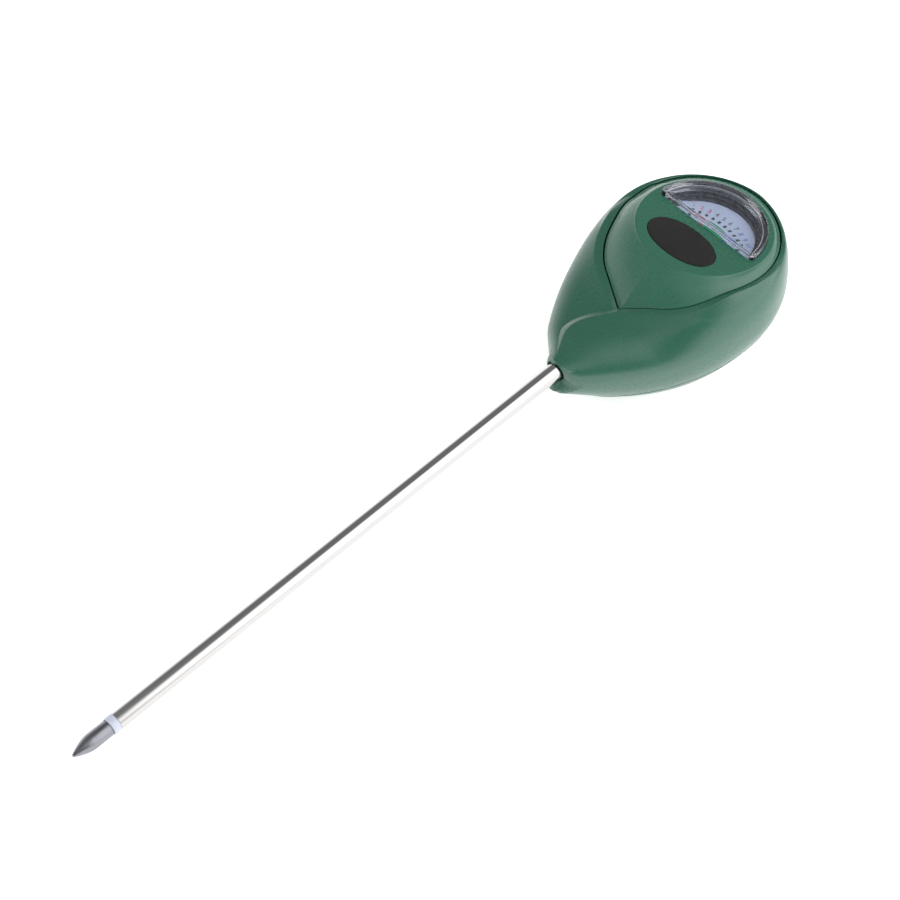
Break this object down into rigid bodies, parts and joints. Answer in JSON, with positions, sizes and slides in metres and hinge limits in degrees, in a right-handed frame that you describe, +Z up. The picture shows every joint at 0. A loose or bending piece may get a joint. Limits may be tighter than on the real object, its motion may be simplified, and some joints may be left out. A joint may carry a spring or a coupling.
{
  "type": "soil probe meter",
  "caption": "Handheld analogue soil moisture meter: bud-shaped green head with a half-round lens over a pointer dial, on a slim plated probe with an insulated pointed tip.",
  "frame": {"origin": "bottom centre of the bounding box, on the bench the meter lies on: its flattened back pad and the shoulder of the probe tip both touch z = 0", "axes": "+X from the probe tip to the crown of the head, +Z up out of the dial, +Y to the left of the dial as seen with the probe pointing at the reader; the rod axis rises 6.4 degrees towards +X"},
  "size_m": [0.1741, 0.0384, 0.0275],
  "materials": {
    "shell_green": "moulded satin-gloss green plastic",
    "cover_green": "moulded satin-gloss green plastic",
    "panel_green": "moulded satin green plastic, slightly lighter",
    "badge_black": "blank matt black inlay",
    "lens_clear": "clear moulded plastic lens",
    "well_black": "dark moulded plastic",
    "dial_white": "printed cool-white dial",
    "print_red": "printed ink",
    "print_green": "printed ink",
    "print_blue": "printed ink",
    "print_dark": "printed ink",
    "screw_steel": "plated steel",
    "iron": "soft iron and magnet alloy",
    "brass": "turned brass",
    "former_alu": "bright aluminium",
    "winding_copper": "enamelled copper wire",
    "pointer_alu": "painted aluminium",
    "lead_red": "insulated wire",
    "lead_black": "insulated wire",
    "resistor_tan": "lacquered",
    "tube_chrome": "polished plating",
    "sleeve_white": "white insulation",
    "inner_steel": "drawn steel",
    "tip_metal": "dull grey turned metal",
    "grommet_black": "matt rubber"
  },
  "bodies": {
    "case": {"front_shell": "shell_green", "back_cover": "cover_green", "face_panel": "panel_green", "badge": "badge_black", "lens": "lens_clear", "window_well": "well_black", "dial_plate": "dial_white", "zone_dry": "print_red", "zone_moist": "print_green", "zone_wet": "print_blue", "scale_ticks": "print_dark", "dial_screws": "screw_steel", "movement_cup": "well_black", "yoke_ring": "iron", "core_magnet": "iron", "core_spacers": "brass", "top_bridge": "brass", "bridge_screws": "screw_steel", "top_jewel": "brass", "bottom_jewel": "brass", "terminal_lugs": "brass", "load_resistor": "resistor_tan", "lead_red": "lead_red", "lead_black": "lead_black", "probe_tube": "tube_chrome", "insulating_sleeve": "sleeve_white", "inner_rod": "inner_steel", "insulator_ring": "sleeve_white", "probe_tip": "tip_metal", "tube_collar": "brass", "entry_grommet": "grommet_black", "case_screws": "screw_steel"},
    "pointer_assembly": {"coil_former": "former_alu", "coil_winding": "winding_copper", "pivot_staffs": "screw_steel", "pointer": "pointer_alu", "balance_weights": "brass", "top_hairspring": "brass", "bottom_hairspring": "brass"}
  },
  "joints": [
    {"name": "pointer_swing", "type": "hinge", "parent": "case", "child": "pointer_assembly", "pos_m": [0.06327, 0, 0.0235], "axis": [-0.0804, 0, -0.9968], "range_deg": [0, 67.1], "stiffness_Nm_per_rad": 0.00002}
  ]
}
